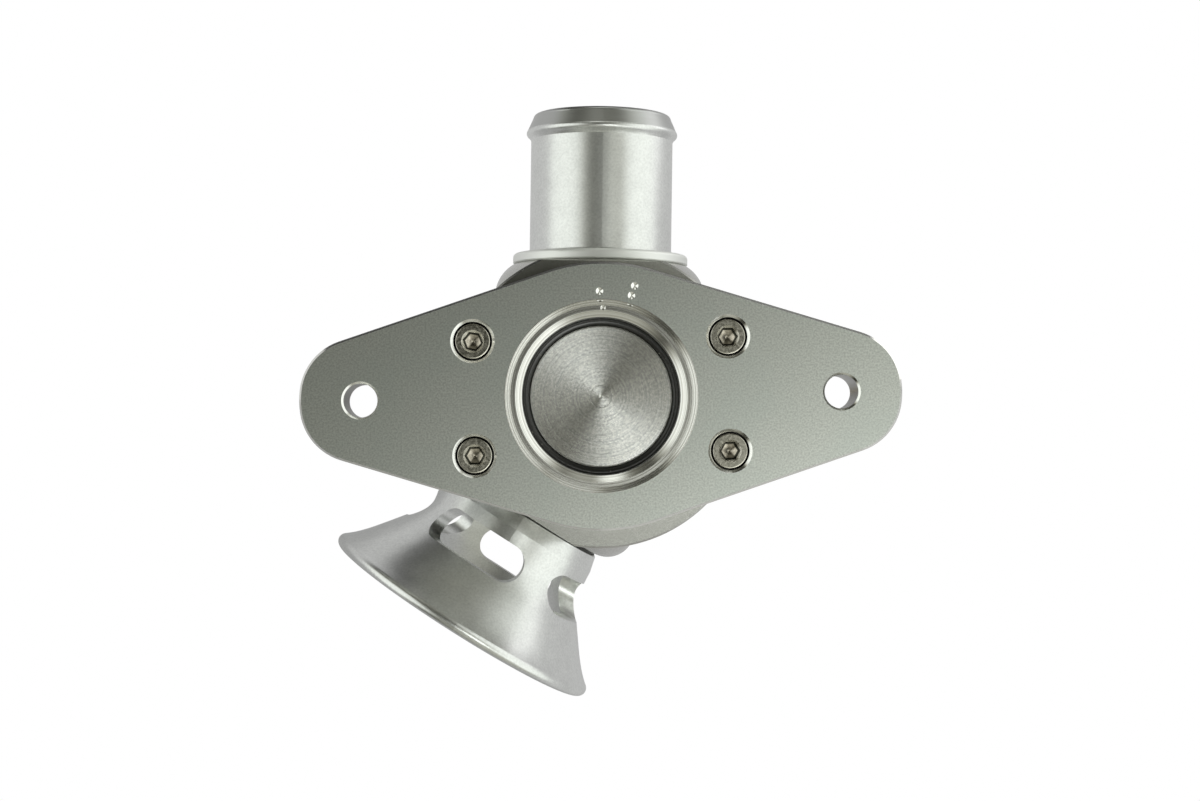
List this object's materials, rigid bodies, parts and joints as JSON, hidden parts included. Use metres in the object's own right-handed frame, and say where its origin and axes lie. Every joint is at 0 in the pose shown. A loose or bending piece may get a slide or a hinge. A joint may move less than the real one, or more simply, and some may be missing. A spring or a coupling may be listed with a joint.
{
  "type": "blow off valve",
  "caption": "Machined blow off valve: diamond mounting flange with a sprung sealing piston, a round drum body, a beaded hose spigot and a slotted bell outlet at its sides.",
  "frame": {"origin": "midway between the two mounting holes, on the face that bolts to the pipe's flange", "axes": "+X along the line of the mounting holes, +Y towards the hose spigot, +Z out of the mounting face"},
  "size_m": [0.1454, 0.1523, 0.098],
  "materials": {
    "plate_aluminium": "fine satin",
    "body_aluminium": "turned satin",
    "outlet_aluminium": "polished",
    "piston_aluminium": "faced on a lathe",
    "stainless": "satin",
    "spring_steel": "drawn",
    "black_rubber": "matt",
    "guide_plastic": "matt",
    "brass": "turned"
  },
  "bodies": {
    "valve": {"cap_o_ring": "black_rubber", "cap_screw_1": "stainless", "cap_screw_2": "stainless", "cap_screw_3": "stainless", "cap_screw_4": "stainless", "end_cap": "body_aluminium", "flange_o_ring": "black_rubber", "flange_plate": "plate_aluminium", "flange_screw_1": "stainless", "flange_screw_2": "stainless", "flange_screw_3": "stainless", "flange_screw_4": "stainless", "hose_spigot": "outlet_aluminium", "main_spring": "spring_steel", "nipple_washer": "outlet_aluminium", "spigot_o_ring": "black_rubber", "trumpet": "outlet_aluminium", "trumpet_o_ring": "black_rubber", "vacuum_nipple": "brass", "valve_body": "body_aluminium"},
    "piston": {"piston": "piston_aluminium", "piston_seat_seal": "black_rubber", "piston_skirt_seal": "black_rubber", "piston_guide_ring": "guide_plastic"}
  },
  "joints": [
    {"name": "piston_slide", "type": "slide", "parent": "valve", "child": "piston", "axis": [0, 0, -1], "range_m": [0, 0.011], "stiffness_N_per_m": 2500, "springref_m": -0.012, "deforming": ["main_spring"]}
  ]
}
